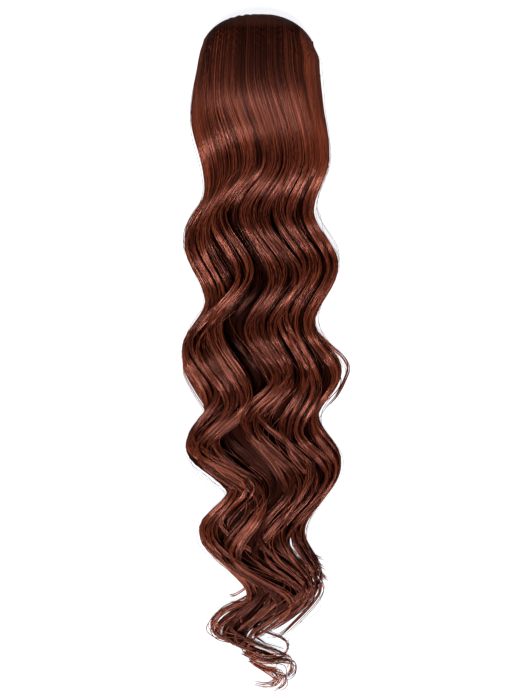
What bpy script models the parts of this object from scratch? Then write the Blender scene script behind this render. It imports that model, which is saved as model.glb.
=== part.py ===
# Ponytail hairpiece lying flat: a domed net cap that goes over a bun, the comb inside its rim, the smooth
# hair laid over the cap, and the loose wavy hair below it in three groups of locks.
#
# Metres. The floor is Z = 0, the crown points to +Y, the curled tips to -Y, and X runs across the hair.
# A place "down" the hair is a share of LENGTH from the crown's edge to the last tip.
# A place "across" is a share of half the WAVE_WIDTH, from -1 at the left to +1 at the right.

import math

import bmesh
import bpy
import numpy as np

# Overall sizes of the hair
LENGTH = 0.580
WAVE_WIDTH = 0.142
FALL_DEPTH = 0.030
CROWN_WIDTH = 0.110
CROWN_ARCH = 0.068
CROWN_HEIGHT = 0.034
CROWN_OFFSET = 0.0064
CROWN_RIDGE = 0.0011
CROWN_RIDGES = 16
CROWN_LIFT = 0.0005

# The cap and its hem
CAP_WIDTH = 0.092
CAP_LENGTH = 0.088
CAP_HEIGHT = 0.024
CAP_WALL = 0.0016
HEM_RADIUS = 0.0018
HEM_HEIGHT = 0.0012
COVER = 0.007
CAP_TO_FALL = 0.004

# The comb
COMB_SPINE_RADIUS = 0.0015
COMB_HEIGHT = 0.0022
COMB_TEETH = 9
COMB_PITCH = 0.004
COMB_TOOTH_LENGTH = 0.020
COMB_TOOTH_RADIUS = 0.0008
COMB_TOOTH_RISE = 0.003

# The locks of the loose hair
LOCK_WIDTH = 0.0205
LOCK_STEP = 0.0115
TIP_LENGTH = 0.070

# A lock's size at its tip, as a share of its own, and the share of LENGTH kept free of rows before the tip
TIP_SIZE = 0.14
TIP_ROOM = 0.008

# Clearances, and how square the soft outlines are seen from above and from the front (2 is an ellipse)
GAP = 0.0003
SQUARENESS = 2.5
CROWN_ROUNDNESS = 2.2
NEAR_ZERO = 0.01
WELD_DISTANCE = 0.00001

# The turns of the waves. Each row is one bend, read across the hair at six hairs from the left edge to the
# right edge: (down, across). Bends swing right and left in turn.
GUIDES = (-1.0, -0.6, -0.25, 0.15, 0.6, 1.0)
TURNS = (
    ((0.040, -0.73), (0.021, -0.61), (0.004, -0.41), (0.000, -0.11), (0.006, 0.24), (0.043, 0.57)),
    ((0.147, -0.89), (0.128, -0.67), (0.111, -0.45), (0.084, -0.12), (0.062, 0.25), (0.069, 0.63)),
    ((0.261, -0.71), (0.237, -0.52), (0.221, -0.22), (0.215, 0.12), (0.214, 0.49), (0.211, 0.77)),
    ((0.347, -0.96), (0.330, -0.84), (0.310, -0.64), (0.296, -0.18), (0.292, 0.25), (0.291, 0.58)),
    ((0.428, -0.72), (0.419, -0.55), (0.404, -0.34), (0.392, 0.19), (0.375, 0.58), (0.364, 0.88)),
    ((0.500, -1.00), (0.487, -0.88), (0.472, -0.69), (0.466, -0.11), (0.460, 0.28), (0.454, 0.60)),
    ((0.590, -0.72), (0.569, -0.55), (0.560, -0.30), (0.546, 0.19), (0.549, 0.57), (0.532, 0.92)),
    ((0.645, -0.96), (0.645, -0.89), (0.630, -0.75), (0.612, -0.18), (0.617, 0.37), (0.599, 0.64)),
    ((0.718, -0.45), (0.714, -0.33), (0.708, -0.11), (0.701, 0.36), (0.686, 0.75), (0.664, 0.92)),
    ((0.773, -0.80), (0.779, -0.63), (0.780, -0.45), (0.782, -0.04), (0.770, 0.33), (0.773, 0.48)),
    ((0.857, -0.23), (0.867, -0.04), (0.858, 0.30), (0.851, 0.49), (0.847, 0.61), (0.842, 0.70)),
    ((0.907, -0.64), (0.923, -0.40), (0.925, -0.24), (0.923, -0.11), (0.925, -0.05), (0.926, 0.01)),
    ((0.966, 0.24), (0.969, 0.28), (0.957, 0.31), (0.948, 0.33), (0.948, 0.33), (0.948, 0.33)),
    ((0.988, -0.05), (1.000, 0.10), (1.000, 0.14), (1.000, 0.16), (1.000, 0.16), (1.000, 0.16)),
)

# How the loose hair thins out. Down the hair: its depth in the middle as a share of FALL_DEPTH, the share of
# that left at the edges, and a lock's width as a share of its full width.
PILE = (
    (0.00, 1.00, 0.62, 0.84),
    (0.22, 1.00, 0.58, 0.88),
    (0.55, 0.92, 0.52, 0.92),
    (0.75, 0.78, 0.50, 0.92),
    (0.86, 0.56, 0.55, 0.92),
    (0.93, 0.38, 0.70, 0.80),
    (0.97, 0.26, 1.00, 0.62),
    (1.00, 0.16, 1.00, 0.40),
)

# The outline of a lock seen end on: shares of half its width and of its height. Its foot is below the floor,
# where the flat underside is cut.
LOCK_SECTION = ((-0.86, -0.1), (-1.0, 0.35), (-0.66, 0.78), (0, 1), (0.66, 0.78), (1.0, 0.35), (0.86, -0.1))

# The locks: fall that it belongs to, which hair it follows, its size as a share of LOCK_WIDTH,
# its height as a share of the pile, and how far down its tip lies
LOCKS = (
    ("left_fall", -0.82, 0.80, 0.96, 0.955),
    ("left_fall", -0.54, 0.88, 1.00, 1.000),
    ("left_fall", -0.30, 0.92, 1.03, 0.962),
    ("left_fall", -0.16, 0.80, 0.88, 0.950),
    ("middle_fall", -0.03, 0.92, 0.95, 0.925),
    ("middle_fall", 0.14, 0.90, 1.03, 0.915),
    ("middle_fall", 0.31, 0.92, 0.97, 0.905),
    ("right_fall", 0.52, 0.88, 1.02, 0.910),
    ("right_fall", 0.70, 0.84, 0.98, 0.920),
    ("right_fall", 0.87, 0.76, 0.95, 0.918),
)

# The hairs along which the dark valleys part the falls, and the rows down the hair that a parting crosses
PARTINGS = {"left_fall": (None, -0.13), "middle_fall": (-0.13, 0.42), "right_fall": (0.42, None)}
PARTING_ROWS = (0.10, 0.955, 90)

# Places that follow from the sizes above
CROWN_X = -CROWN_OFFSET
CROWN_Y = LENGTH / 2
CAP_Y = CROWN_Y - COVER - CAP_LENGTH / 2
FALL_Y = CROWN_Y - COVER - CAP_LENGTH - CAP_TO_FALL


def clear_scene():
    for obj in list(bpy.data.objects):
        bpy.data.objects.remove(obj, do_unlink=True)


def collection(name):
    made = bpy.data.collections.new(name)
    bpy.context.scene.collection.children.link(made)
    return made


def material(name, colour, roughness, metallic=0.0):
    made = bpy.data.materials.new(name)
    made.use_nodes = True
    shader = made.node_tree.nodes["Principled BSDF"]
    shader.inputs["Base Color"].default_value = (*colour, 1.0)
    shader.inputs["Roughness"].default_value = roughness
    shader.inputs["Metallic"].default_value = metallic
    return made


# Working with solids

def add_object(name, data, home):
    obj = bpy.data.objects.new(name, data)
    home.objects.link(obj)
    return obj


def object_of(name, shape, home):
    mesh = bpy.data.meshes.new(name)
    shape.to_mesh(mesh)
    shape.free()
    return add_object(name, mesh, home)


def mesh_from(obj):
    # The evaluated shape of obj as a plain mesh object that takes its place.
    graph = bpy.context.evaluated_depsgraph_get()
    graph.update()
    mesh = bpy.data.meshes.new_from_object(obj.evaluated_get(graph))
    mesh.transform(obj.matrix_world)
    home = obj.users_collection[0]
    name = obj.name
    bpy.data.objects.remove(obj, do_unlink=True)
    return add_object(name, mesh, home)


def weld(obj):
    # A curve's end caps are loose until their doubled corners are merged.
    shape = bmesh.new()
    shape.from_mesh(obj.data)
    bmesh.ops.remove_doubles(shape, verts=shape.verts, dist=WELD_DISTANCE)
    bmesh.ops.recalc_face_normals(shape, faces=shape.faces)
    shape.to_mesh(obj.data)
    shape.free()
    return obj


def as_guide(obj):
    obj.hide_render = True
    obj.display_type = "WIRE"
    return obj


def combine(target, tools, operation, solver="EXACT"):
    # Boolean of target with each tool, which is then removed.
    for tool in tools:
        step = target.modifiers.new(operation.title(), "BOOLEAN")
        step.operation = operation
        step.solver = solver
        step.object = as_guide(tool)
    bpy.context.view_layer.update()
    made = mesh_from(target)
    for tool in tools:
        bpy.data.objects.remove(tool, do_unlink=True)
    return made


def keep_outer_shell(obj):
    # A union of locks can shut small pockets in; only the shell round the outside stays.
    shape = bmesh.new()
    shape.from_mesh(obj.data)
    left = set(shape.verts)
    shells = []
    while left:
        front = [left.pop()]
        shell = set(front)
        while front:
            for edge in front.pop().link_edges:
                for vert in edge.verts:
                    if vert in left:
                        left.discard(vert)
                        shell.add(vert)
                        front.append(vert)
        shells.append(shell)
    shells.sort(key=shell_reach)
    for shell in shells[:-1]:
        bmesh.ops.delete(shape, geom=list(shell), context="VERTS")
    bmesh.ops.triangulate(shape, faces=shape.faces)
    shape.to_mesh(obj.data)
    shape.free()
    return obj


def shell_reach(shell):
    rows = [vert.co.y for vert in shell]
    return max(rows) - min(rows)


def box(name, low, high, home):
    shape = bmesh.new()
    bmesh.ops.create_cube(shape, size=1.0)
    size = [top - bottom for bottom, top in zip(low, high)]
    centre = [(top + bottom) / 2 for bottom, top in zip(low, high)]
    bmesh.ops.scale(shape, verts=shape.verts, vec=size)
    bmesh.ops.translate(shape, verts=shape.verts, vec=centre)
    return as_guide(object_of(name, shape, home))


def below(level, home):
    # Everything under a level, to cut a flat underside.
    return box("below", (-LENGTH, -LENGTH, level - LENGTH), (LENGTH, LENGTH, level), home)


def tube(name, route, sizes, profile, home):
    # A curve through route whose section is the closed outline profile, scaled by sizes along it.
    outline = bpy.data.curves.new(name + "_section", "CURVE")
    outline.dimensions = "2D"
    ring = outline.splines.new("POLY")
    ring.points.add(len(profile) - 1)
    for point, (side, up) in zip(ring.points, profile):
        point.co = (side, up, 0, 1)
    ring.use_cyclic_u = True
    section = as_guide(add_object(name + "_section", outline, home))
    line = bpy.data.curves.new(name, "CURVE")
    line.dimensions = "3D"
    line.twist_mode = "Z_UP"
    line.bevel_mode = "OBJECT"
    line.bevel_object = section
    line.use_fill_caps = True
    spline = line.splines.new("POLY")
    spline.points.add(len(route) - 1)
    for point, place, size in zip(spline.points, route, sizes):
        point.co = (*place, 1)
        point.radius = size
    made = weld(mesh_from(add_object(name, line, home)))
    bpy.data.objects.remove(section, do_unlink=True)
    return made


def oval(half_width, half_height, sides):
    turns = [2 * math.pi * side / sides for side in range(sides)]
    return [(half_width * math.cos(turn), half_height * math.sin(turn)) for turn in turns]


# The run of the hair

def row_y(down):
    return LENGTH * (0.5 - down)


def wave(hair):
    # The bends of one hair: its places down and across, read between the guides.
    downs = [np.interp(hair, GUIDES, [pair[0] for pair in row]) for row in TURNS]
    acrosses = [np.interp(hair, GUIDES, [pair[1] for pair in row]) for row in TURNS]
    return downs, acrosses


def hair_x(hair, down):
    # A hair swings from bend to bend as half a cosine.
    downs, acrosses = wave(hair)
    if down <= downs[0]:
        return acrosses[0] * WAVE_WIDTH / 2
    if down >= downs[-1]:
        return acrosses[-1] * WAVE_WIDTH / 2
    bend = int(np.searchsorted(downs, down)) - 1
    share = (down - downs[bend]) / (downs[bend + 1] - downs[bend])
    swing = (1 - math.cos(math.pi * share)) / 2
    return (acrosses[bend] + (acrosses[bend + 1] - acrosses[bend]) * swing) * WAVE_WIDTH / 2


def pile(column, down):
    return np.interp(down, [row[0] for row in PILE], [row[column] for row in PILE])


def pile_depth(hair, down):
    # The depth of the hair as a share of FALL_DEPTH.
    return pile(1, down) * (1 - (1 - pile(2, down)) * hair * hair)


def even_steps(hair, start, end, step):
    # Shares down the hair whose points lie about one step apart along its wavy route.
    fine = np.linspace(start, end, 600)
    route = np.array([(hair_x(hair, down), row_y(down)) for down in fine])
    run = np.concatenate(([0], np.cumsum(np.hypot(*np.diff(route, axis=0).T))))
    count = max(6, round(run[-1] / step))
    return np.interp(np.linspace(0, run[-1], count + 1), run, fine)


# The hair over the cap and the cap itself

def soft_ring(angle, squareness=SQUARENESS):
    # A point of a squared-off oval, before its sizes.
    cosine = math.cos(angle)
    sine = math.sin(angle)
    power = 2 / squareness
    return math.copysign(abs(cosine) ** power, cosine), math.copysign(abs(sine) ** power, sine)


def keep_upper_half(shape):
    lower = [vert for vert in shape.verts if vert.co.z < -NEAR_ZERO]
    bmesh.ops.delete(shape, geom=lower, context="VERTS")


def draw_out(shape, way):
    # The open rim is drawn out along way and closed flat.
    rim = [edge for edge in shape.edges if edge.is_boundary]
    longer = bmesh.ops.extrude_edge_only(shape, edges=rim)
    ends = [item for item in longer["geom"] if isinstance(item, bmesh.types.BMVert)]
    bmesh.ops.translate(shape, verts=ends, vec=way)
    bmesh.ops.holes_fill(shape, edges=[edge for edge in shape.edges if edge.is_boundary])
    bmesh.ops.recalc_face_normals(shape, faces=shape.faces)


def cap_dome(name, grow, home):
    # The closed upper half of a squared-off ball, each half-size grown by grow.
    shape = bmesh.new()
    bmesh.ops.create_uvsphere(shape, u_segments=28, v_segments=12, radius=1.0)
    keep_upper_half(shape)
    for vert in shape.verts:
        around = soft_ring(math.atan2(vert.co.y, vert.co.x))
        level = min(1.0, max(0.0, vert.co.z))
        reach, rise = soft_ring(math.asin(level))
        vert.co.x = CROWN_X + around[0] * reach * (CAP_WIDTH / 2 + grow)
        vert.co.y = CAP_Y + around[1] * reach * (CAP_LENGTH / 2 + grow)
        vert.co.z = rise * (CAP_HEIGHT + grow)
    draw_out(shape, (0, 0, -HEM_RADIUS))
    return object_of(name, shape, home)


def rim_point(angle, inset):
    # A point on the cap's rim, moved inwards square to the rim.
    across, along = soft_ring(angle)
    half = (CAP_WIDTH / 2, CAP_LENGTH / 2)
    out = [math.copysign(abs(share) ** (SQUARENESS - 1), share) / size for share, size in zip((across, along), half)]
    length = math.hypot(*out)
    x = CROWN_X + across * half[0] - inset * out[0] / length
    y = CAP_Y + along * half[1] - inset * out[1] / length
    return x, y


def hem_ring(home):
    # A round casing along the rim, made as a bevelled closed curve.
    line = bpy.data.curves.new("hem", "CURVE")
    line.dimensions = "3D"
    line.bevel_depth = HEM_RADIUS
    line.bevel_resolution = 1
    spline = line.splines.new("POLY")
    steps = 28
    spline.points.add(steps - 1)
    for step, point in enumerate(spline.points):
        point.co = (*rim_point(2 * math.pi * (step + 0.5) / steps, CAP_WALL / 2), HEM_HEIGHT, 1)
    spline.use_cyclic_u = True
    return weld(mesh_from(add_object("hem", line, home)))


def make_cap(home, tools):
    cap = cap_dome("cap", 0.0, home)
    cap = combine(cap, [cap_dome("cap_inside", -CAP_WALL, tools)], "DIFFERENCE")
    cap = combine(cap, [hem_ring(tools)], "UNION")
    cap = combine(cap, [below(0.0, tools)], "DIFFERENCE")
    return cap


def make_comb(home, tools):
    inset = CAP_WALL / 2 + HEM_RADIUS + GAP + COMB_SPINE_RADIUS
    half_width = COMB_PITCH * (COMB_TEETH - 1) / 2 + COMB_SPINE_RADIUS
    spread = math.asin(min(1.0, (half_width / (CAP_WIDTH / 2)) ** (SQUARENESS / 2)))
    angles = [math.pi / 2 + spread * share for share in np.linspace(1, -1, 8)]
    route = [(*rim_point(angle, inset), COMB_HEIGHT) for angle in angles]
    round_bar = oval(COMB_SPINE_RADIUS, COMB_SPINE_RADIUS, 6)
    comb = tube("comb", route, [1.0] * len(route), round_bar, home)
    teeth = []
    for tooth in range(COMB_TEETH):
        x = CROWN_X + COMB_PITCH * (tooth - (COMB_TEETH - 1) / 2)
        y = np.interp(x, [place[0] for place in route], [place[1] for place in route])
        run = np.linspace(0, 1, 4)
        line = [(x, y - COMB_TOOTH_LENGTH * share, COMB_HEIGHT + COMB_TOOTH_RISE * share * share) for share in run]
        round_tooth = oval(COMB_TOOTH_RADIUS, COMB_TOOTH_RADIUS, 6)
        teeth.append(tube("tooth", line, [1.0, 1.0, 0.9, 0.5], round_tooth, tools))
    return combine(comb, teeth, "UNION")


def make_crown_hair(home, tools):
    # Half a ball whose pole is the crown's top edge, drawn out to where the falls begin.
    shape = bmesh.new()
    bmesh.ops.create_uvsphere(shape, u_segments=4 * CROWN_RIDGES, v_segments=14, radius=1.0)
    keep_upper_half(shape)
    widest = CROWN_Y - CROWN_ARCH
    for vert in shape.verts:
        turn = math.atan2(vert.co.y, vert.co.x)
        around = soft_ring(turn, CROWN_ROUNDNESS)
        reach, along = soft_ring(math.asin(min(1.0, max(0.0, vert.co.z))))
        ridge = CROWN_RIDGE * math.cos(CROWN_RIDGES * turn) * reach
        vert.co.x = CROWN_X + around[0] * (reach * CROWN_WIDTH / 2 + ridge)
        vert.co.y = widest + along * CROWN_ARCH
        vert.co.z = around[1] * (reach * CROWN_HEIGHT + ridge)
    draw_out(shape, (0, FALL_Y - widest, 0))
    crown = object_of("crown_hair", shape, home)
    crown = combine(crown, [below(CROWN_LIFT, tools)], "DIFFERENCE")
    return combine(crown, [cap_dome("cap_room", HEM_RADIUS + GAP, tools)], "DIFFERENCE")


# The loose hair

def tip_taper(left):
    return TIP_SIZE + (1 - TIP_SIZE) * math.sin(math.pi / 2 * min(1.0, max(0.0, left / TIP_LENGTH)))


def make_lock(hair, width, lift, end, rows, home):
    # The lock lies along the floor on its hair's route, at the rows of its fall down to its own tip.
    downs = [down for down in rows if down < end - TIP_ROOM] + [end]
    route = [(hair_x(hair, down), row_y(down), 0) for down in downs]
    sizes = [pile(3, down) * tip_taper(LENGTH * (end - down)) for down in downs]
    section = [(side * LOCK_WIDTH * width / 2, up * FALL_DEPTH * lift) for side, up in LOCK_SECTION]
    lock = tube("lock", route, sizes, section, home)
    # It flattens towards its tip more than it narrows.
    for vert in lock.data.vertices:
        down = 0.5 - vert.co.y / LENGTH
        vert.co.z *= pile_depth(hair, down) / pile(3, down)
    return lock


def side_of(hair, side, home):
    # A flat block over everything on one side of a parting hair.
    line = bpy.data.curves.new("side", "CURVE")
    line.dimensions = "2D"
    line.fill_mode = "BOTH"
    line.extrude = FALL_DEPTH * 2
    downs = np.linspace(*PARTING_ROWS)
    shift = -side * GAP / 2
    points = [(hair_x(hair, down) + shift, row_y(down)) for down in downs]
    points.append((side * WAVE_WIDTH, points[-1][1]))
    points.append((side * WAVE_WIDTH, points[0][1]))
    spline = line.splines.new("POLY")
    spline.points.add(len(points) - 1)
    for point, (x, y) in zip(spline.points, points):
        point.co = (x, y, 0, 1)
    spline.use_cyclic_u = True
    return weld(mesh_from(add_object("side", line, home)))


def make_fall(name, home, tools):
    mine = [row[1:] for row in LOCKS if row[0] == name]
    start = 0.5 - (FALL_Y + LOCK_STEP) / LENGTH
    rows = even_steps(mine[1][0], start, mine[1][3], LOCK_STEP)
    locks = [make_lock(*row, rows, tools) for row in mine]
    first = locks[0]
    tools.objects.unlink(first)
    home.objects.link(first)
    first.name = name
    # The locks lie so close together that EXACT leaves open edges here.
    fall = combine(first, locks[1:], "UNION", "MANIFOLD")
    left, right = PARTINGS[name]
    cutters = [below(0.0, tools)]
    cutters.append(box("above", (-LENGTH, FALL_Y - GAP, -LENGTH), (LENGTH, LENGTH, LENGTH), tools))
    if left is not None:
        cutters.append(side_of(left, -1, tools))
    if right is not None:
        cutters.append(side_of(right, 1, tools))
    return keep_outer_shell(combine(fall, cutters, "DIFFERENCE", "MANIFOLD"))


def centre_on_origin(parts):
    # The origin is the middle of the underside of the whole piece.
    corners = [vert.co for part in parts for vert in part.data.vertices]
    x = (min(co.x for co in corners) + max(co.x for co in corners)) / 2
    y = (min(co.y for co in corners) + max(co.y for co in corners)) / 2
    for part in parts:
        for vert in part.data.vertices:
            vert.co.x -= x
            vert.co.y -= y


def main():
    clear_scene()
    home = collection("ponytail_hairpiece")
    tools = collection("cutters")
    net = material("cap_net", (0.020, 0.012, 0.010), 0.85)
    plastic = material("comb_plastic", (0.030, 0.016, 0.012), 0.35)
    auburn = material("auburn_hair", (0.115, 0.022, 0.014), 0.42)
    parts = [make_cap(home, tools), make_comb(home, tools), make_crown_hair(home, tools)]
    parts += [make_fall(name, home, tools) for name in PARTINGS]
    finishes = [net, plastic] + [auburn] * (len(parts) - 2)
    for part, finish in zip(parts, finishes):
        part.data.materials.clear()
        part.data.materials.append(finish)
        part.data.shade_smooth()
        part.data.set_sharp_from_angle(angle=math.radians(50))
    centre_on_origin(parts)


main()
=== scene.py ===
import math

import bmesh
import bpy
import numpy as np
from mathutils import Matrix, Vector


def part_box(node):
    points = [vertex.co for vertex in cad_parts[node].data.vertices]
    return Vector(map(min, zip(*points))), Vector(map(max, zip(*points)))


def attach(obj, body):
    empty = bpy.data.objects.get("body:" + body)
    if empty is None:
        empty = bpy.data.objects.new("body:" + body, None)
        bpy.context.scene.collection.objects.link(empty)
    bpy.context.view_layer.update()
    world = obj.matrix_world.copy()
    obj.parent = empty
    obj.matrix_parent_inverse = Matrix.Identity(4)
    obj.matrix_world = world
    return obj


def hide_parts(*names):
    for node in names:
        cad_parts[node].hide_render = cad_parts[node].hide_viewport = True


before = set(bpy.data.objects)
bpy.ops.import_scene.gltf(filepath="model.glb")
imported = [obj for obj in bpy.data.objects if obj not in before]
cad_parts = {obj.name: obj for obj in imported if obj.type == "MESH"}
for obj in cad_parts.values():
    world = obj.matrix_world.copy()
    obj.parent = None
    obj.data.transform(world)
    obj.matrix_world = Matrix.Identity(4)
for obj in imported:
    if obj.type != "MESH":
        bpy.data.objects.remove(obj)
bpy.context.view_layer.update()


# Net cap: the hair is sewn to a domed net of fine elastic threads with a round elastic hem.
# It is the CAD solid itself, hidden under the hair, and open below for the wearer's bun.

class Shade:
    """A shader socket that can be used in plain sums."""

    def __init__(self, tree, socket=None):
        self.tree = tree
        self.socket = socket

    def node(self, kind, settings=None, sockets=None, output=0):
        made = self.tree.nodes.new(kind)
        for name, value in (settings or {}).items():
            setattr(made, name, value)
        for name, value in (sockets or {}).items():
            if isinstance(value, Shade):
                self.tree.links.new(value.socket, made.inputs[name])
            else:
                made.inputs[name].default_value = value
        return Shade(self.tree, made.outputs[output])

    def math(self, operation, first, second=0.0):
        return self.node("ShaderNodeMath", {"operation": operation}, {0: first, 1: second})

    def __add__(self, other):
        return self.math("ADD", self, other)

    def __sub__(self, other):
        return self.math("SUBTRACT", self, other)

    def __rsub__(self, other):
        return self.math("SUBTRACT", other, self)

    def __mul__(self, other):
        return self.math("MULTIPLY", self, other)

    __radd__ = __add__
    __rmul__ = __mul__

    def mix(self, first, second):
        # A colour between two colours, by this value.
        settings = {"data_type": "RGBA", "clamp_factor": True}
        ends = [end if isinstance(end, Shade) else (*end, 1.0) for end in (first, second)]
        return self.node("ShaderNodeMix", settings, {0: self, 6: ends[0], 7: ends[1]}, 2)

    def spread(self, low, high, first=0.0, last=1.0):
        # Goes evenly from first to last while this value goes from low to high.
        return self.node("ShaderNodeMapRange", sockets={0: self, 1: low, 2: high, 3: first, 4: last})

    def feed(self, shader, name):
        self.tree.links.new(self.socket, shader.inputs[name])


def new_finish(name, colour, roughness):
    # A material with its main shader and a start for its shader sums.
    made = bpy.data.materials.new(name)
    made.use_nodes = True
    shader = made.node_tree.nodes["Principled BSDF"]
    shader.inputs["Base Color"].default_value = (*colour, 1.0)
    shader.inputs["Roughness"].default_value = roughness
    return made, shader, Shade(made.node_tree)


# How tightly the net's slanting threads follow one another, in radians of their wave a metre
NET_PITCH = 1400.0


def net_finish():
    made, shader, start = new_finish("brown_net", (0.03, 0.014, 0.01), 0.7)
    shader.inputs["Specular IOR Level"].default_value = 0.15
    place = start.node("ShaderNodeTexCoord", output=3)
    axes = [start.node("ShaderNodeSeparateXYZ", sockets={0: place}, output=axis) for axis in range(3)]
    slants = (axes[0] + axes[1], axes[0] - axes[1])
    threads = [start.math("ABSOLUTE", start.math("SINE", slant * NET_PITCH)) for slant in slants]
    open_mesh = start.math("MINIMUM", *threads)
    open_mesh.mix((0.045, 0.02, 0.014), (0.008, 0.004, 0.003)).feed(shader, "Base Color")
    raised = {"Strength": 0.6, "Distance": 0.0004, "Height": 1.0 - open_mesh}
    start.node("ShaderNodeBump", sockets=raised).feed(shader, "Normal")
    return made


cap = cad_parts["cap"]
cap.data.materials.clear()
cap.data.materials.append(net_finish())


# Comb: one plain moulded comb sewn inside the cap's front rim, which slides into the wearer's hair.
# It is the CAD solid itself, in dark brown plastic.

def comb_finish():
    made, shader, start = new_finish("brown_comb", (0.035, 0.014, 0.008), 0.35)
    place = start.node("ShaderNodeTexCoord", output=3)
    cloud = start.node("ShaderNodeTexNoise", sockets={"Vector": place, "Scale": 180.0, "Detail": 3.0})
    cloud.mix((0.028, 0.011, 0.007), (0.045, 0.018, 0.01)).feed(shader, "Base Color")
    (cloud * 0.15 + 0.28).feed(shader, "Roughness")
    return made


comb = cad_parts["comb"]
comb.data.materials.clear()
comb.data.materials.append(comb_finish())


# Crown backing: the rows of sewn-in hair close over the cap, the ground under the top strands, near black
# as painted shade.
# The synthetic hair is laid flat from the rounded top edge, so the ground is a smooth shell.

# The hair's length, width, depth and height over the cap, in metres, and how far the middle of the
# waves lies beside the crown's. The crown is highest at its peak and ends at places down, as shares.
HAIR_LENGTH = 0.580
WAVE_WIDTH = 0.142
FALL_DEPTH = 0.030
CROWN_HEIGHT = 0.0345
CROWN_OFFSET = 0.0064
CROWN_PEAK = 0.095
CROWN_END = 0.187
CROWN_END_HEIGHT = 0.0285

# The rounded top edge: half its width in metres, and how far down it reaches at its sides, as a share
EDGE_HALF = 0.0562
EDGE_DROP = 0.117

# How far below its root a hair lies at its full height, as a share
ROOT_RISE = 0.022

# How much the side hairs are pushed out over the cap, as a share, at places down
CROWN_OUT_DOWN = (0.035, 0.055, 0.070, 0.100, 0.120, 0.145)
CROWN_OUT_LEFT = (0.0, 0.07, 0.07, 0.03, 0.01, 0.0)
CROWN_OUT_RIGHT = (0.0, 0.028, 0.028, 0.03, 0.02, 0.0)

# The hairs that the bends are given for: 0 runs down the middle, -1 and 1 down the two sides
GUIDES = np.array((-1.0, -0.6, -0.25, 0.15, 0.6, 1.0))

# Each row is one bend of the waves, as each of those hairs passes it: how far down it comes, as a share
# of the length, and how far across, as a share of half the wave width
TURNS = np.array((
    ((0.040, -0.73), (0.021, -0.61), (0.004, -0.41), (0.000, -0.11), (0.006, 0.24), (0.043, 0.57)),
    ((0.147, -0.89), (0.128, -0.67), (0.111, -0.45), (0.084, -0.12), (0.062, 0.25), (0.069, 0.63)),
    ((0.255, -0.72), (0.234, -0.52), (0.221, -0.22), (0.215, 0.12), (0.214, 0.49), (0.211, 0.77)),
    ((0.336, -0.97), (0.325, -0.84), (0.310, -0.64), (0.296, -0.18), (0.292, 0.25), (0.291, 0.58)),
    ((0.428, -0.72), (0.419, -0.55), (0.404, -0.34), (0.392, 0.19), (0.375, 0.58), (0.364, 0.88)),
    ((0.500, -1.00), (0.487, -0.88), (0.472, -0.69), (0.466, -0.11), (0.460, 0.28), (0.454, 0.60)),
    ((0.590, -0.72), (0.569, -0.55), (0.560, -0.30), (0.546, 0.19), (0.549, 0.57), (0.532, 0.92)),
    ((0.645, -0.96), (0.645, -0.89), (0.630, -0.75), (0.612, -0.18), (0.617, 0.37), (0.599, 0.64)),
    ((0.718, -0.45), (0.714, -0.33), (0.708, -0.11), (0.701, 0.36), (0.686, 0.75), (0.664, 0.92)),
    ((0.773, -0.80), (0.779, -0.63), (0.780, -0.45), (0.782, -0.04), (0.770, 0.33), (0.773, 0.48)),
    ((0.857, -0.23), (0.867, -0.04), (0.858, 0.30), (0.851, 0.49), (0.847, 0.61), (0.842, 0.70)),
    ((0.907, -0.64), (0.923, -0.40), (0.925, -0.24), (0.923, -0.11), (0.925, -0.05), (0.926, 0.01)),
    ((0.966, 0.24), (0.969, 0.28), (0.957, 0.31), (0.948, 0.33), (0.948, 0.33), (0.948, 0.33)),
    ((0.988, -0.05), (1.000, 0.10), (1.000, 0.14), (1.000, 0.16), (1.000, 0.16), (1.000, 0.16)),
))

# Down the hair: its depth in the middle, and at its sides as a share of that
PILE_DOWN = (0.00, 0.22, 0.55, 0.75, 0.86, 0.93, 0.97, 1.00)
PILE_DEPTH = (1.00, 1.00, 0.92, 0.78, 0.56, 0.38, 0.26, 0.16)
PILE_EDGE = (0.62, 0.58, 0.52, 0.50, 0.55, 0.70, 1.00, 1.00)

crown_low, crown_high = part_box("crown_hair")
crown_x = (crown_low.x + crown_high.x) / 2
middle_x = crown_x + CROWN_OFFSET
top_y = crown_high.y


def ease(share):
    share = np.clip(share, 0.0, 1.0)
    return share * share * (3.0 - 2.0 * share)


def start_of(hair):
    # How far down a hair comes out at the cap's rounded top edge.
    across = middle_x + np.interp(hair, GUIDES, TURNS[0, :, 1]) * WAVE_WIDTH / 2 - crown_x
    out = np.minimum(np.abs(across) / EDGE_HALF, 1.0)
    return EDGE_DROP * (1.0 - (1.0 - out ** 2.5) ** 0.4)


def run_of(hair, down):
    # Where a hair lies across at a place down, its share of the way to the next bend, and the side
    # that it swings to.
    guide = np.clip(np.searchsorted(GUIDES, hair) - 1, 0, len(GUIDES) - 2)
    part = (hair - GUIDES[guide]) / (GUIDES[guide + 1] - GUIDES[guide])
    rows = TURNS[:, guide] + (TURNS[:, guide + 1] - TURNS[:, guide]) * part[..., None]
    downs, acrosses = rows[..., 0], rows[..., 1]
    bend = np.clip((downs <= down).sum(axis=0) - 1, 0, len(TURNS) - 2)[None]
    start, end = (np.take_along_axis(downs, bend + step, 0)[0] for step in (0, 1))
    left, right = (np.take_along_axis(acrosses, bend + step, 0)[0] for step in (0, 1))
    share = np.clip((down - start) / np.maximum(end - start, 0.001), 0.0, 1.0)
    across = left + (right - left) * (1.0 - np.cos(math.pi * share)) / 2.0
    # Over the cap the side hairs are pushed out to its rounded outline.
    left_out = np.interp(down, CROWN_OUT_DOWN, CROWN_OUT_LEFT)
    right_out = np.interp(down, CROWN_OUT_DOWN, CROWN_OUT_RIGHT)
    out = np.where(hair < 0.0, left_out, right_out) * np.minimum(hair * hair, 1.0)
    place = crown_x + (middle_x + across * WAVE_WIDTH / 2 - crown_x) * (1.0 + out)
    return place, share, np.sign(right - left)


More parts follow.
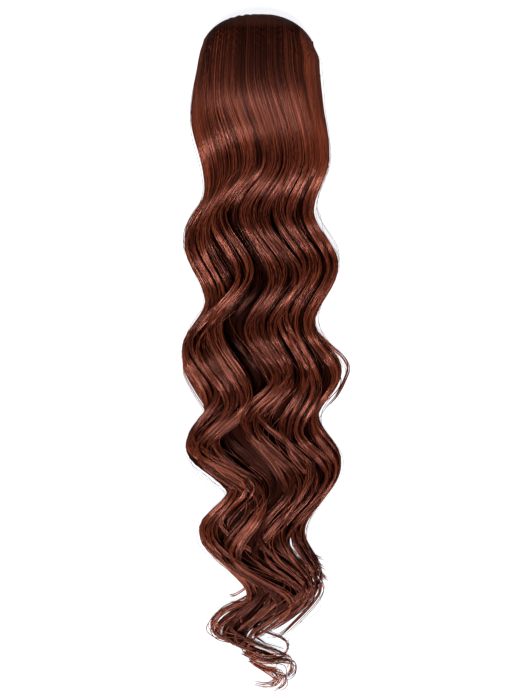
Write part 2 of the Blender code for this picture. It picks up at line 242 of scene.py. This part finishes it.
def surface_of(hair, down):
    # How high the hair lies: a dome over the cap, then a pile that waves gently up and down.
    lead = np.clip(1.0 - down / CROWN_PEAK, 0.0, 1.0)
    dome = CROWN_HEIGHT * (1.0 - lead ** 3.0) ** 0.3333
    sink = CROWN_HEIGHT - CROWN_END_HEIGHT
    dome = dome - sink * ease((down - CROWN_PEAK) / (CROWN_END - CROWN_PEAK))
    dome = dome * (1.0 - np.minimum(np.abs(hair), 0.999) ** 2.4) ** 0.4167
    begun = np.clip((down - start_of(hair)) / ROOT_RISE, 0.0, 1.0)
    begun = (1.0 - (1.0 - begun) ** 2.5) ** 0.4
    dome = dome * (begun + (1.0 - begun) * np.exp(-start_of(hair) / 0.003))
    depth = np.interp(down, PILE_DOWN, PILE_DEPTH)
    edge = np.interp(down, PILE_DOWN, PILE_EDGE)
    pile = FALL_DEPTH * depth * (1.0 - (1.0 - edge) * np.minimum(hair * hair, 1.1))
    share, way = run_of(hair, down)[1:]
    swell = -np.sin(2.0 * math.pi * (share - 0.5)) * np.where(way > 0, 0.0036, 0.0022)
    pile = pile + swell * ease((down - 0.13) / 0.08) * depth
    blend = ease((down - 0.12) / 0.09)
    return dome * (1.0 - blend) + pile * blend


def place_of(hair, down, shift):
    # Points of hairs: shift moves the waves along a hair a little.
    across = run_of(hair, down + shift)[0]
    return across, top_y - down * HAIR_LENGTH, surface_of(hair, down + shift)


def hair_ground_finish(name, dark, light, ways):
    # Dull under-hair: fine streaks, this many side by side, that run down the piece by its own map.
    made, shader, start = new_finish(name, dark, 0.5)
    shader.inputs["IOR"].default_value = 1.3
    shader.inputs["Specular IOR Level"].default_value = 0.08
    shader.inputs["Specular Tint"].default_value = (1.0, 0.36, 0.27, 1.0)
    flat = start.node("ShaderNodeUVMap", {"uv_map": "UVMap"})
    across = start.node("ShaderNodeSeparateXYZ", sockets={0: flat}, output=0)
    along = start.node("ShaderNodeSeparateXYZ", sockets={0: flat}, output=1)
    number = start.node("ShaderNodeAttribute", {"attribute_name": "lock"}, output=2)
    drawn = {0: across * ways, 1: along * 3.0, 2: number * 5.3}
    threads = start.node("ShaderNodeCombineXYZ", sockets=drawn)
    fine = start.node("ShaderNodeTexNoise", sockets={"Vector": threads, "Scale": 1.0, "Detail": 3.0})
    broad = start.node("ShaderNodeTexNoise", sockets={"Vector": threads, "Scale": 0.3, "Detail": 1.0})
    streaks = fine * 0.5 + broad * 0.5
    streaks.spread(0.42, 0.60).mix(dark, light).feed(shader, "Base Color")
    relief = start.node("ShaderNodeBump", sockets={"Strength": 0.8, "Distance": 0.0006, "Height": fine})
    relief.feed(shader, "Normal")
    return made


def add_piece(name, mesh):
    made = bpy.data.objects.new(name, mesh)
    bpy.context.scene.collection.objects.link(made)
    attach(made, "root")
    return made


def shape_points(verts):
    return np.array([vert.co for vert in verts])


def put_points(verts, places):
    for vert, place in zip(verts, places):
        vert.co = place


def closed_mesh(shape, name, finish):
    # Merges a tube's seam, fills its two ends and turns its faces outwards.
    bmesh.ops.remove_doubles(shape, verts=shape.verts, dist=0.000002)
    bmesh.ops.holes_fill(shape, edges=[edge for edge in shape.edges if edge.is_boundary])
    bmesh.ops.recalc_face_normals(shape, faces=shape.faces)
    mesh = bpy.data.meshes.new(name)
    shape.to_mesh(mesh)
    shape.free()
    mesh.shade_smooth()
    mesh.materials.append(finish)
    return mesh


def make_crown_backing():
    shape = bmesh.new()
    shape.loops.layers.uv.new("UVMap")
    verts = bmesh.ops.create_grid(shape, x_segments=96, y_segments=44, size=1.0, calc_uvs=True)["verts"]
    flat = shape_points(verts)
    # Half of each row goes over the top from side to side, the other half comes back on the inside.
    angle = (flat[:, 0] + 1.0) * math.pi
    hair = -np.cos(angle)
    hair = 0.995 * np.sign(hair) * np.abs(hair) ** 0.9
    inside = ease(-np.sin(angle) / 0.12)
    along = (flat[:, 1] + 1.0) / 2.0
    down = 0.0030 + 0.205 * along ** 1.8
    down = down + start_of(hair) * (1.0 - along)
    across, row, height = place_of(hair, down, 0.0)
    across = crown_x + (across - crown_x) * (0.950 - 0.03 * inside)
    height = height - 0.0024 - 0.0018 * inside
    height = height - 0.0060 * ease((down - 0.10) / 0.07) - 0.010 * ease((down - 0.17) / 0.035)
    height = np.maximum(height, 0.0006)
    put_points(verts, np.stack((across, row, height), axis=1))
    # Its near-black colours are painted shade: the hair under the top strands is dark only by the shade
    # there.
    finish = hair_ground_finish("crown_ground", (0.004, 0.001, 0.0008), (0.017, 0.0036, 0.002), 150.0)
    return closed_mesh(shape, "crown_backing", finish)


crown_backing = add_piece("crown_backing", make_crown_backing())
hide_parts("crown_hair")


# Under-locks: the body of the loose hair, arched locks that lie side by side on the surface below them.
# They are the shaded hair under the top strands, and follow the same waves down to the tips.

# Each lock: fall, hair that it follows, half its width, how far below the top it lies, tip, strands on it
LOCKS = (
    ("left", -0.985, 0.050, 0.55, 0.945, 50),
    ("left", -0.915, 0.065, 0.00, 0.950, 80),
    ("left", -0.790, 0.070, 0.10, 0.965, 80),
    ("left", -0.660, 0.065, 0.00, 0.965, 80),
    ("left", -0.560, 0.055, 0.25, 0.965, 60),
    ("left", -0.460, 0.060, 0.00, 0.975, 80),
    ("left", -0.355, 0.055, 0.08, 0.970, 70),
    ("left", -0.285, 0.035, 0.40, 0.975, 40),
    ("left", -0.225, 0.048, 0.00, 0.965, 80),
    ("left", -0.145, 0.044, 0.05, 0.960, 75),
    ("middle", -0.037, 0.062, 0.95, 0.935, 100),
    ("middle", 0.070, 0.040, 0.10, 0.925, 65),
    ("middle", 0.135, 0.045, 0.00, 0.920, 80),
    ("middle", 0.215, 0.042, 0.12, 0.930, 75),
    ("middle", 0.300, 0.046, 0.00, 0.915, 80),
    ("middle", 0.385, 0.044, 0.10, 0.915, 75),
    ("middle", 0.460, 0.044, 0.00, 0.910, 75),
    ("middle", 0.545, 0.046, 0.12, 0.905, 75),
    ("right", 0.625, 0.046, 0.00, 0.905, 75),
    ("right", 0.705, 0.044, 0.15, 0.895, 70),
    ("right", 0.790, 0.050, 0.90, 0.925, 80),
    ("right", 0.870, 0.048, 0.00, 0.875, 75),
    ("right", 0.955, 0.048, 0.05, 0.860, 80),
    ("right", 0.990, 0.045, 0.55, 0.845, 45),
)

# The locks cling together in bunches with dark valleys between them: the hairs at the bunches' edges
BUNCH_EDGES = (-1.20, -0.50, -0.26, -0.100, 0.030, 0.255, 0.420, 0.585, 0.750, 0.830, 1.20)

# Wide low locks close to the floor, between which no light comes through: fall, hair, half its width, tip
GROUND_LOCKS = (
    ("left", -0.51, 0.45, 0.955),
    ("middle", 0.20, 0.37, 0.940),
    ("right", 0.74, 0.22, 0.830),
)

# Where the locks begin and end at the latest, as places down: past that the strands go on to the tips
LOCKS_BEGIN = 0.178
SIDE_LOCKS_BEGIN = 0.135
GROUND_BEGIN = 0.170
LOCKS_END = 0.940

# How far below the top the most sunken locks lie, in metres
SINK_DEPTH = 0.0120

# Hairs beyond this one run down the two sides
SIDE_HAIR = 0.85


def wander(chance, down, size, turns):
    # A slow smooth change down a hair, another one for each hair.
    total = 0.0
    for turn in turns:
        phase = chance.uniform(0.0, 2.0 * math.pi, (np.shape(down)[0], 1))
        strength = chance.normal(0.0, 1.0, (np.shape(down)[0], 1))
        total = total + strength * np.sin(2.0 * math.pi * turn * down + phase)
    return total * size / math.sqrt(len(turns))


def lock_swing(number, down):
    # How the middle of a lock strays from its hair, moves its waves and rises, partly with its bunch.
    hair = LOCKS[number][1]
    bunch = int(np.searchsorted(BUNCH_EDGES, hair))
    lower = 1.0 + 0.7 * ease((down - 0.45) / 0.25) - 1.1 * ease((down - 0.84) / 0.08)
    free = ease((down - 0.12) / 0.30) * lower
    calm = 0.5 if abs(hair) > SIDE_HAIR else 1.0
    total = []
    for seed, size in ((300 + bunch, 1.0), (400 + number, 0.6)):
        chance = np.random.default_rng(seed)
        stray = wander(chance, down, 0.026, (1.7, 3.7)) * free * size
        shift = wander(chance, down, 0.0085, (1.3, 3.3)) * free * size * calm
        rise = wander(chance, down, 0.0016, (2.3, 5.3)) * free * size
        total.append((stray, shift, rise))
    return [shared + own for shared, own in zip(*total)]


def keep_in(place, low, high):
    # Holds hairs softly between two others.
    middle, half = (low + high) / 2.0, (high - low) / 2.0
    part = (place - middle) / half
    over = np.maximum(np.abs(part) - 0.75, 0.0)
    return middle + half * np.sign(part) * (np.minimum(np.abs(part), 0.75) + 0.25 * np.tanh(over / 0.25))


def taper(down, end, length):
    # Full width, then narrower towards the tip.
    left = np.clip((end - down) / length, 0.0, 1.0)
    return 0.12 + 0.88 * np.sin(left * math.pi / 2.0)


def lock_depth(down):
    # How much lower a lock's sides lie than its middle.
    return 0.0007 + 0.0050 * ease((down - 0.12) / 0.22)


def sinking(sunk, down):
    # How far a sunken lock lies below the top, once it has left the crown.
    return SINK_DEPTH * sunk * ease((down - 0.19) / 0.13)


def make_under_locks(fall):
    shape = bmesh.new()
    shape.loops.layers.uv.new("UVMap")
    numbers = shape.verts.layers.float.new("lock")
    for number, (home, hair, half, end) in enumerate(GROUND_LOCKS):
        if home != fall:
            continue
        sheet = bmesh.ops.create_grid(shape, x_segments=28, y_segments=90, size=1.0, calc_uvs=True)
        verts = sheet["verts"]
        flat = shape_points(verts)
        down = GROUND_BEGIN + (end - GROUND_BEGIN) * (flat[:, 1] + 1.0) / 2.0
        angle = (flat[:, 0] + 1.0) * math.pi
        side = -np.cos(angle)
        up = np.clip(np.sin(angle), 0.0, 1.0) ** 0.4
        width = half * (1.0 - 0.13 * ease((down - 0.72) / 0.1)) * taper(down, end, 0.09)
        across, row, top = place_of(hair + side * width, down, 0.0)
        height = 0.0002 + 0.0001 * number + np.maximum(top * 0.5 - 0.001, 0.001) * up
        put_points(verts, np.stack((across, row, height), axis=1))
        for vert in verts:
            vert[numbers] = 40 + number
    for number, lock in enumerate(LOCKS):
        home, hair, half, sunk, end = lock[:5]
        if home != fall:
            continue
        sheet = bmesh.ops.create_grid(shape, x_segments=12, y_segments=104, size=1.0, calc_uvs=True)
        verts = sheet["verts"]
        flat = shape_points(verts)
        start = LOCKS_BEGIN if abs(hair) < SIDE_HAIR else SIDE_LOCKS_BEGIN
        end = min(end, LOCKS_END)
        down = start + (end - 0.004 - start) * (flat[:, 1] + 1.0) / 2.0
        angle = (flat[:, 0] + 1.0) * math.pi
        side = -np.cos(angle)
        side = np.sign(side) * np.abs(side) ** 0.7
        up = np.clip(np.sin(angle), 0.0, 1.0) ** 0.6
        stray, shift, rise = (part[0] for part in lock_swing(number, down[None]))
        width = half * 1.35 * taper(down, end, 0.10) * (1.0 - 0.18 * ease((down - 0.45) / 0.3))
        place = hair + stray
        across, row, top = place_of(np.clip(place + side * width, -0.955, 0.955), down, shift)
        middle_top = surface_of(place, down + shift)
        top = np.minimum(top, middle_top)
        top = top + rise - sinking(sunk, down)
        top = top - 0.0026 - 0.004 * ease((0.235 - down) / 0.055)
        top = top - lock_depth(down) * (1.0 - np.sqrt(np.clip(1.0 - side * side, 0.0, 1.0))) * 0.8
        top = np.maximum(top * np.interp(end - down, (0.0, 0.06), (0.35, 1.0)), 0.0014)
        low = 0.0005 + 0.0002 * (number % 3)
        height = low + (top - low) * up
        put_points(verts, np.stack((across, row, height), axis=1))
        for vert in verts:
            vert[numbers] = number
    return closed_mesh(shape, fall + "_under_locks", lock_ground)


# The under-locks' near-black colours are painted shade: this hair is dark only by the shade under the top
# strands.
lock_ground = hair_ground_finish("lock_ground", (0.0015, 0.0005, 0.0004), (0.016, 0.0034, 0.0019), 22.0)
for fall in ("left", "middle", "right"):
    under_locks = add_piece(fall + "_under_locks", make_under_locks(fall))
    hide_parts(fall + "_fall")


# Top strands: fine synthetic fibres in small bundles over the locks, from the crown to the tips.
# Each is a thin ridged tube. Four shades of auburn, from near black to copper, lie mixed; the deeper
# strands get the darker ones as painted shade.

# The colours painted in for light: painted shade at the crown's middle, painted sheen over the top edge,
# painted copper light down its sides
CROWN_PAINTED_SHADE = (0.004, 0.001, 0.0007)
RIM_PAINTED_SHEEN = (0.13, 0.032, 0.02)
COPPER_PAINTED_LIGHT = (0.17, 0.033, 0.014)

# How far left of the origin the crown's middle runs, for the colours
COLOUR_MIDDLE = 0.0033


def strand_finish(name, colour, lighter, roughness, bending):
    made, shader, start = new_finish(name, colour, roughness)
    shader.inputs["IOR"].default_value = bending
    shader.inputs["Specular Tint"].default_value = (1.0, 0.36, 0.27, 1.0)
    place = start.node("ShaderNodeTexCoord", output=3)
    drawn = start.node("ShaderNodeMapping", sockets={"Vector": place, "Scale": (900.0, 45.0, 900.0)})
    patch = start.node("ShaderNodeTexNoise", sockets={"Vector": drawn, "Scale": 1.0, "Detail": 2.0})
    drawn_colour = patch.spread(0.35, 0.65).mix(colour, lighter)
    # Painted shade: near the top of the crown's middle the strands are darkened, where the dome slopes away
    # from the light.
    sideways = start.node("ShaderNodeSeparateXYZ", sockets={0: place}, output=0)
    upwards = start.node("ShaderNodeSeparateXYZ", sockets={0: place}, output=1)
    high = upwards.spread(0.205, 0.250, 0.0, 0.6)
    inner = (sideways * sideways).spread(0.0002, 0.0018, 1.0, 0.0)
    crown_shaded = (high * inner).mix(drawn_colour, CROWN_PAINTED_SHADE)
    # Painted sheen: where they bend over the top edge they are made paler, for the light they catch there.
    rim_sheened = upwards.spread(0.276, 0.290, 0.0, 0.8).mix(crown_shaded, RIM_PAINTED_SHEEN)
    # Painted light: the hairs down the two sides of the crown are made a lighter copper, for the light that
    # comes through them there.
    from_middle = sideways + COLOUR_MIDDLE
    outer = (from_middle * from_middle).spread(0.0019, 0.0030, 0.0, 0.7)
    upper = upwards.spread(0.10, 0.17)
    (outer * upper).mix(rim_sheened, COPPER_PAINTED_LIGHT).feed(shader, "Base Color")
    return made


strand_shades = (
    strand_finish("strand_dark", (0.005, 0.0013, 0.001), (0.013, 0.0028, 0.0017), 0.32, 1.44),
    strand_finish("strand_brown", (0.018, 0.0036, 0.0022), (0.036, 0.007, 0.0042), 0.30, 1.58),
    strand_finish("strand_auburn", (0.046, 0.0084, 0.0045), (0.082, 0.015, 0.0078), 0.28, 1.75),
    strand_finish("strand_copper", (0.130, 0.026, 0.011), (0.220, 0.047, 0.019), 0.28, 1.90),
)

# How large a share of the strands has each shade, from the deepest strands to the top ones
SHADE_SHARES = (0.56, 0.22, 0.15, 0.07)

# Points along one strand, and the half widths between which the strands' own lie, in metres
STATIONS = 78
STRAND_HALF = (0.00020, 0.00040)


def lay_strands(name, strands):
    # Makes one mesh of thin ridged tubes. Each strand is its points, its half widths and its shade.
    ridge = bpy.data.curves.new(name + "_ridge", "CURVE")
    ridge.dimensions = "2D"
    outline = ridge.splines.new("POLY")
    outline.points.add(2)
    for point, place in zip(outline.points, ((-1.0, -0.45), (0.0, 0.55), (1.0, -0.45))):
        point.co = (*place, 0.0, 1.0)
    outline.use_cyclic_u = True
    section = bpy.data.objects.new(name + "_ridge", ridge)
    lines = bpy.data.curves.new(name, "CURVE")
    lines.dimensions = "3D"
    lines.twist_mode = "Z_UP"
    lines.bevel_mode = "OBJECT"
    lines.bevel_object = section
    lines.use_fill_caps = True
    for shade in strand_shades:
        lines.materials.append(shade)
    for points, radii, shade in strands:
        line = lines.splines.new("POLY")
        line.points.add(len(points) - 1)
        line.points.foreach_set("co", np.column_stack((points, np.ones(len(points)))).ravel())
        line.points.foreach_set("radius", radii)
        line.material_index = shade
    made = bpy.data.objects.new(name, lines)
    for item in (section, made):
        bpy.context.scene.collection.objects.link(item)
    graph = bpy.context.evaluated_depsgraph_get()
    graph.update()
    mesh = bpy.data.meshes.new_from_object(made.evaluated_get(graph))
    bpy.data.objects.remove(made)
    bpy.data.objects.remove(section)
    return mesh


def strands_of_lock(number):
    hair, half, sunk, end, count = LOCKS[number][1:]
    chance = np.random.default_rng(700 + number)
    side = np.sort(chance.uniform(-1.0, 1.0, (count, 1)), axis=0)
    bundle = np.round(side * 2.2 + 0.4)
    ends = end - 0.006 - (0.42 if hair > -0.5 else 0.22) * chance.random((count, 1)) ** 1.7
    # In the dark valleys most hairs dive under the locks beside them.
    diving = (chance.random((count, 1)) < 0.68) & (sunk > 0.8)
    ends = np.where(diving, chance.uniform(0.25, 0.36, (count, 1)), ends)
    root = hair + side * half * 1.25
    # A few rounded bumps where the rows of hair come over the top edge.
    bumps = 0.0013 * (1.0 - np.cos(root * 48.0)) * np.exp(-((root + 0.10) / 0.30) ** 2)
    starts = start_of(root) + bumps + chance.uniform(0.0, 0.0010, (count, 1))
    steps = np.linspace(0.0, 1.0, STATIONS)[None] + chance.uniform(-0.3, 0.3, (count, 1)) / STATIONS
    steps = np.clip(steps, 0.0, 1.0)
    steps[:, 0] = 0.0
    steps[:, -1] = 1.0
    # Stations lie close together where the hair bends over the top edge.
    near = 0.05 * (steps / 0.10) ** 2.2
    far = 0.05 + (steps - 0.10) / 0.90 * 0.95
    steps = np.where(steps < 0.10, near, far)
    down = starts + (ends - starts) * steps
    stray, shift, rise = lock_swing(number, down[:1])
    swings = (np.interp(down, down[0], part[0]) for part in (stray, shift, rise))
    lock_stray, lock_shift, lock_rise = swings
    loose = ease((down - 0.08) / 0.30)
    width = half * (1.25 - 0.35 * ease((down - 0.12) / 0.30)) * taper(down, end, 0.12)
    wobble = wander(chance, down, 0.24, (1.1, 2.7, 4.3)) * loose
    # Strands of one bundle stray together.
    bundle_way = np.zeros_like(down)
    for kind in np.unique(bundle):
        member = bundle[:, 0] == kind
        shared = wander(chance, down[member][:1], 0.42, (1.3, 3.3))
        bundle_way[member] = np.interp(down[member], down[member][0], shared[0])
    spread = side + wobble + bundle_way * loose
    place = hair + spread * width
    bunch = int(np.searchsorted(BUNCH_EDGES, hair))
    held = keep_in(place, BUNCH_EDGES[bunch - 1] + 0.008, BUNCH_EDGES[bunch] - 0.008)
    together = ease((down - 0.13) / 0.12)
    place = place + (held - place) * together + lock_stray
    # No strand strays far out past the side hairs.
    over = np.maximum(np.abs(place) - 0.94, 0.0)
    place = np.sign(place) * (np.minimum(np.abs(place), 0.94) + 0.075 * np.tanh(over / 0.075))
    own_shift = lock_shift + wander(chance, down, 0.0024, (0.9, 2.3)) * loose
    across, row, top = place_of(place, down, own_shift)
    middle_top = surface_of(hair + lock_stray, down + own_shift)
    top = np.where(loose > 0.5, np.minimum(top, middle_top + 0.001), top)
    arch = 1.0 - np.sqrt(np.clip(1.0 - np.minimum(np.abs(spread), 1.0) ** 2, 0.0, 1.0))
    buried = chance.random((count, 1))
    deep = 0.0030 * buried ** 1.5
    top = top + lock_rise - sinking(sunk, down)
    top = top - lock_depth(down) * arch - deep * loose
    # The low locks at the two sides are filled down to the floor, and all lie lower towards their tips.
    filled = (sunk > 0.5) * (np.abs(hair) > 0.9)
    level = 1.0 - filled * chance.random((count, 1)) * ease((down - 0.12) / 0.1)
    top = top * level * np.interp(end - down, (0.0, 0.06), (0.40, 1.0))
    top = top - 0.0040 * ease((steps - 0.86) / 0.14) * (ends < end - 0.04)
    top = np.maximum(top, 0.0006)
    thickness = chance.uniform(*STRAND_HALF, (count, 1))
    thickness = thickness * np.interp(steps, (0.0, 0.9, 1.0), (1.0, 0.9, 0.35))
    # Painted shade: the deeper a strand lies, the darker its shade, and the strands that stay in the dark
    # valleys get the darkest.
    rank = 1.0 - buried[:, 0] + chance.normal(0.0, 0.16, count)
    rank = np.clip(rank - 0.5 * (sunk > 0.8) * ~diving[:, 0], 0.0, 0.999)
    shades = np.searchsorted(np.cumsum(SHADE_SHARES), rank)
    # Painted light: strands of the side locks get the lighter shades more often, for the copper light that
    # comes through the two sides.
    if abs(hair) > SIDE_HAIR:
        shades = np.maximum(shades, chance.choice(4, count, p=(0.0, 0.1, 0.4, 0.5)))
    points = np.stack((across, row, top), axis=2)
    return [(points[line], thickness[line], int(shades[line])) for line in range(count)]


STRAND_PIECES = {
    "left_outer_strands": (0, 1, 2, 3, 4),
    "left_inner_strands": (5, 6, 7, 8, 9),
    "middle_left_strands": (10, 11, 12, 13, 14),
    "middle_right_strands": (15, 16, 17, 18, 19),
    "right_strands": (20, 21, 22, 23),
}
for piece_name, numbers in STRAND_PIECES.items():
    strands = [strand for number in numbers for strand in strands_of_lock(number)]
    add_piece(piece_name, lay_strands(piece_name, strands))


# Loose wisps: thin ends and stray hairs that have come out of the locks at the sides and at the tips.
# Each is a few fibres that run close together along one route.

# Each wisp: fibres, how far apart they lie in metres, and its route, as down, across and height in metres
WISPS = (
    (7, 0.0010, (
        (0.455, 0.50, 0.010), (0.474, 0.65, 0.008), (0.492, 0.80, 0.004), (0.508, 0.94, 0.002),
        (0.524, 1.00, 0.001), (0.541, 0.96, 0.001), (0.565, 0.86, 0.003), (0.583, 0.73, 0.005),
        (0.600, 0.64, 0.008))),
    (2, 0.0006, (
        (0.515, 0.80, 0.006), (0.538, 0.92, 0.002), (0.556, 0.88, 0.002), (0.574, 0.73, 0.005),
        (0.590, 0.62, 0.008))),
    (7, 0.0014, (
        (0.745, 0.33, 0.010), (0.768, 0.41, 0.007), (0.790, 0.49, 0.004), (0.803, 0.62, 0.002),
        (0.808, 0.74, 0.001))),
    (9, 0.0018, (
        (0.765, 0.36, 0.008), (0.800, 0.49, 0.004), (0.816, 0.64, 0.002), (0.824, 0.75, 0.001))),
    (16, 0.0017, (
        (0.775, 0.38, 0.009), (0.808, 0.52, 0.005), (0.828, 0.68, 0.003), (0.839, 0.77, 0.002))),
    (12, 0.0017, (
        (0.800, 0.42, 0.008), (0.833, 0.61, 0.004), (0.851, 0.67, 0.003), (0.872, 0.57, 0.003),
        (0.898, 0.37, 0.003), (0.919, 0.18, 0.003), (0.926, -0.03, 0.002))),
    (9, 0.0015, (
        (0.810, 0.38, 0.010), (0.845, 0.56, 0.006), (0.866, 0.52, 0.005), (0.890, 0.36, 0.004),
        (0.909, 0.14, 0.003), (0.915, 0.02, 0.002))),
    (3, 0.0009, (
        (0.846, -0.18, 0.006), (0.860, -0.35, 0.003), (0.861, -0.45, 0.001))),
    (3, 0.0010, (
        (0.856, -0.15, 0.006), (0.869, -0.33, 0.003), (0.872, -0.43, 0.001))),
    (22, 0.0020, (
        (0.866, -0.03, 0.008), (0.872, -0.30, 0.007), (0.884, -0.52, 0.006), (0.901, -0.63, 0.005),
        (0.912, -0.62, 0.004), (0.921, -0.52, 0.003), (0.926, -0.30, 0.003), (0.930, -0.12, 0.002))),
    (14, 0.0024, (
        (0.940, -0.22, 0.005), (0.953, -0.10, 0.004), (0.955, 0.13, 0.002), (0.952, 0.33, 0.001))),
    (14, 0.0022, (
        (0.945, -0.25, 0.006), (0.957, 0.00, 0.005), (0.957, 0.18, 0.004), (0.960, 0.31, 0.003),
        (0.971, 0.33, 0.002), (0.981, 0.27, 0.002), (0.984, 0.17, 0.001))),
    (12, 0.0018, (
        (0.955, -0.18, 0.005), (0.966, -0.02, 0.004), (0.970, 0.12, 0.003), (0.980, 0.17, 0.003),
        (0.990, 0.13, 0.002), (0.993, 0.01, 0.001), (0.989, -0.17, 0.001))),
    (9, 0.0014, (
        (0.962, -0.10, 0.004), (0.973, 0.10, 0.003), (0.978, 0.22, 0.003), (0.990, 0.23, 0.002),
        (0.998, 0.16, 0.001), (1.000, 0.08, 0.001))),
    (5, 0.0012, (
        (0.962, -0.14, 0.004), (0.976, 0.05, 0.003), (0.985, 0.13, 0.002), (0.990, 0.04, 0.001))),
    (9, 0.0013, (
        (0.240, -0.66, 0.014), (0.265, -0.70, 0.013), (0.283, -0.79, 0.010), (0.298, -0.88, 0.006),
        (0.313, -0.94, 0.004), (0.332, -0.96, 0.003), (0.352, -0.93, 0.004), (0.372, -0.86, 0.008))),
    (12, 0.0010, (
        (0.748, -0.50, 0.008), (0.760, -0.65, 0.006), (0.774, -0.76, 0.005), (0.786, -0.73, 0.004),
        (0.795, -0.63, 0.004), (0.807, -0.48, 0.006))),
    (16, 0.0016, (
        (0.512, -0.97, 0.006), (0.534, -0.94, 0.005), (0.559, -0.83, 0.005), (0.583, -0.71, 0.006),
        (0.600, -0.66, 0.008))),
)

# Points along each fibre of a wisp
WISP_POINTS = 44

# Stray hairs: how many, how many of them lie over the locks, and the points along each
STRAY_HAIRS = 82
STRAYS_OVER = 70
STRAY_POINTS = 50


def smooth_route(points, count):
    # A rounded run through the points.
    points = np.array(points)
    ends = np.vstack((2 * points[0] - points[1], points, 2 * points[-1] - points[-2]))
    route = []
    for place in np.linspace(0.0, len(points) - 1.0, count):
        step = min(int(place), len(points) - 2)
        part = place - step
        before, start, end, after = ends[step:step + 4]
        rounded = 2 * start + (end - before) * part + (2 * before - 5 * start + 4 * end - after) * part ** 2
        route.append((rounded + (3 * start - before - 3 * end + after) * part ** 3) / 2)
    return np.array(route)


def make_wisps():
    chance = np.random.default_rng(91)
    strands = []
    for fibres, spread, route in WISPS:
        for fibre in range(fibres):
            line = smooth_route(route, WISP_POINTS)
            line[:, 0] += chance.normal(0.0, spread / HAIR_LENGTH * 0.4)
            across = middle_x + line[:, 1] * WAVE_WIDTH / 2
            row = top_y - line[:, 0] * HAIR_LENGTH
            points = np.stack((across, row, line[:, 2]), axis=1)
            along = np.linspace(0.0, 1.0, WISP_POINTS)
            sway = chance.normal(0.0, 1.0, 3) * spread
            points += sway * (0.45 + 0.55 * np.sin(along * math.pi * chance.uniform(0.6, 1.4)))[:, None]
            kept = int(WISP_POINTS * chance.uniform(0.8, 1.0))
            points = points[:kept]
            points[:, 2] = np.maximum(points[:, 2], 0.0005)
            thinner = np.interp(np.linspace(0, 1, kept), (0.0, 0.8, 1.0), (1.0, 0.8, 0.3))
            radii = chance.uniform(0.00028, 0.00048) * thinner
            strands.append((points, radii, int(chance.choice(4, p=(0.05, 0.15, 0.35, 0.45)))))
    # Stray hairs that ride over the locks, the last of them just outside the two sides.
    for stray in range(STRAY_HAIRS):
        beside = stray >= STRAYS_OVER
        if beside:
            hair = chance.choice((-1.0, 1.0)) * chance.uniform(1.01, 1.05)
        else:
            hair = chance.uniform(-0.98, 0.98)
        start = chance.uniform(0.06, 0.70)
        end = min(start + chance.uniform(0.15, 0.35), 0.90)
        down = np.linspace(start, end, STRAY_POINTS)[None]
        place = hair + wander(chance, down, 0.03 if beside else 0.09, (1.1, 2.7, 4.9))
        shift = wander(chance, down, 0.004 if beside else 0.012, (1.3, 3.1))
        limit = 1.06 if beside else 1.0
        across, row, top = place_of(np.clip(place, -limit, limit), down, shift)
        lift = 0.0012 + np.abs(wander(chance, down, 0.0012, (1.7,)))
        points = np.stack((across[0], row[0], top[0] + lift[0]), axis=1)
        radii = np.full(STRAY_POINTS, chance.uniform(0.00010, 0.00018))
        strands.append((points, radii, int(chance.choice((1, 2, 3)))))
    return lay_strands("loose_wisps", strands)


add_piece("loose_wisps", make_wisps())


# Floor, light and camera: a plain pale surface, one soft studio light and the view straight down.
# The floor glows evenly, so that it comes out near white as in a studio, and is no part of the object.

def make_floor():
    shape = bmesh.new()
    bmesh.ops.create_grid(shape, x_segments=1, y_segments=1, size=3.0)
    mesh = bpy.data.meshes.new("floor")
    shape.to_mesh(mesh)
    shape.free()
    made, shader, start = new_finish("pale_floor", (0.20, 0.20, 0.205), 0.9)
    shader.inputs["Emission Color"].default_value = (0.962, 0.968, 1.0, 1.0)
    shader.inputs["Emission Strength"].default_value = 0.94
    mesh.materials.append(made)
    floor = bpy.data.objects.new("floor", mesh)
    bpy.context.scene.collection.objects.link(floor)
    floor.visible_glossy = False


make_floor()

light_data = bpy.data.lights.new("main_softbox", "AREA")
light_data.shape = "RECTANGLE"
light_data.size = 2.1
light_data.size_y = 0.64
light_data.energy = 212.0
softbox = bpy.data.objects.new("main_softbox", light_data)
bpy.context.scene.collection.objects.link(softbox)
softbox.location = (-0.34, -1.55, 3.00)
softbox.rotation_mode = "QUATERNION"
softbox.rotation_quaternion = (-softbox.location).to_track_quat("-Z", "Y")

world = bpy.data.worlds.new("studio")
world.use_nodes = True
world.node_tree.nodes["Background"].inputs[0].default_value = (1.0, 1.0, 1.0, 1.0)
world.node_tree.nodes["Background"].inputs[1].default_value = 0.06
bpy.context.scene.world = world
bpy.context.scene.view_settings.view_transform = "Standard"

# The camera looks straight down through a long lens, in the photograph's frame.
camera_data = bpy.data.cameras.new("camera")
camera_data.sensor_width = 36.0
camera_data.lens = 143.4
camera = bpy.data.objects.new("camera", camera_data)
bpy.context.scene.collection.objects.link(camera)
camera.location = (0.0009, 0.0018, 2.4)
bpy.context.scene.camera = camera
